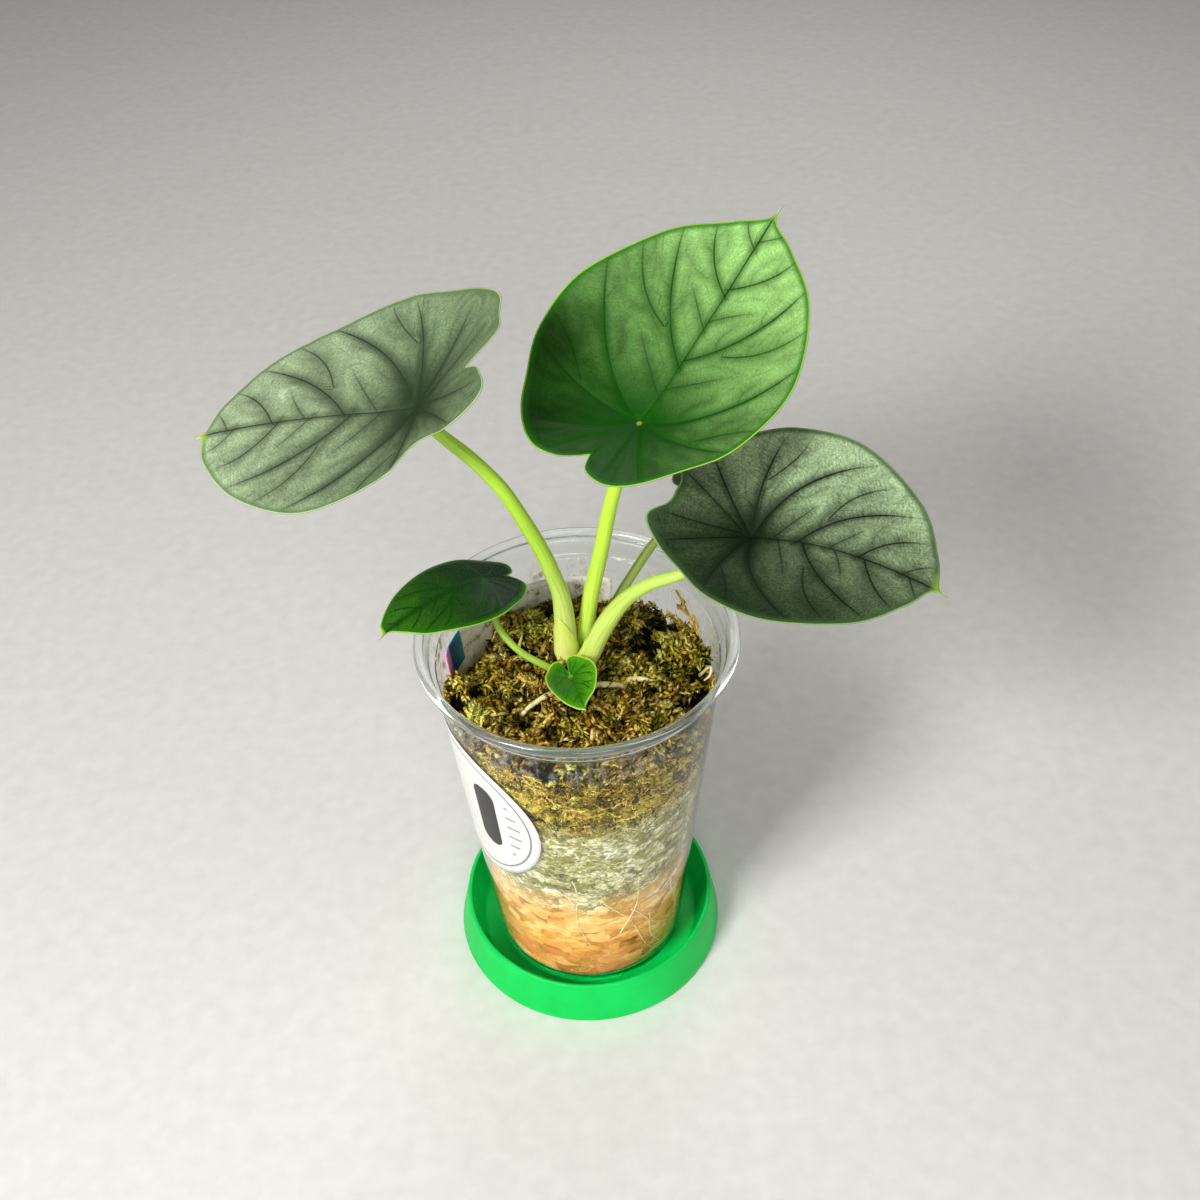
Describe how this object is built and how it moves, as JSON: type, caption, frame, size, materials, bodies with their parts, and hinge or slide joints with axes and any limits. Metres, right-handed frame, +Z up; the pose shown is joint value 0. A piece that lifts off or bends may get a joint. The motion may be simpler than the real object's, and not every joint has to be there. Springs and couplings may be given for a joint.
{
  "type": "potted alocasia plant in a clear cup",
  "caption": "Young alocasia with broad heart-shaped leaves, rooted in moss in a clear plastic cup with a round white label, standing on a bright green saucer.",
  "frame": {"origin": "middle of the saucer's flat underside, on the ground plane; the leaves reach out unevenly about it", "axes": "+Z up, along the axis of the cup; -Y is the front, the side the reference picture looks from; +X is to the right"},
  "size_m": [0.2085, 0.1178, 0.2428],
  "materials": {
    "saucer": "bright green, satin",
    "cup": "clear plastic, lightly scuffed",
    "label": "white paper with a plain printed pattern",
    "tag": "white plastic strip",
    "moss": "dry and live sphagnum, matt and fibrous",
    "root": "pale roots and corm",
    "stalk": "smooth, satin, yellow-green",
    "stalk_dull": "smooth, olive green",
    "blade_silver": "silvery grey-green with dark vein bands",
    "blade_fresh": "bright green, satin, dark veins",
    "blade_dark": "dark green with a silvery sheen",
    "blade_gloss": "very dark green, glossy, yellow-green margin",
    "blade_young": "fresh green, glossy, yellow margin"
  },
  "bodies": {
    "root": {"saucer": "saucer", "cup": "cup", "label": "label", "plant_tag": "tag", "moss": "moss", "crown": "root", "stalk_left": "stalk", "stalk_top": "stalk", "stalk_right": "stalk", "stalk_back": "stalk_dull", "stalk_small": "stalk", "stalk_tiny": "stalk", "blade_left": "blade_silver", "blade_top": "blade_fresh", "blade_right": "blade_dark", "blade_back": "blade_dark", "blade_small": "blade_gloss", "blade_tiny": "blade_young"}
  },
  "joints": []
}
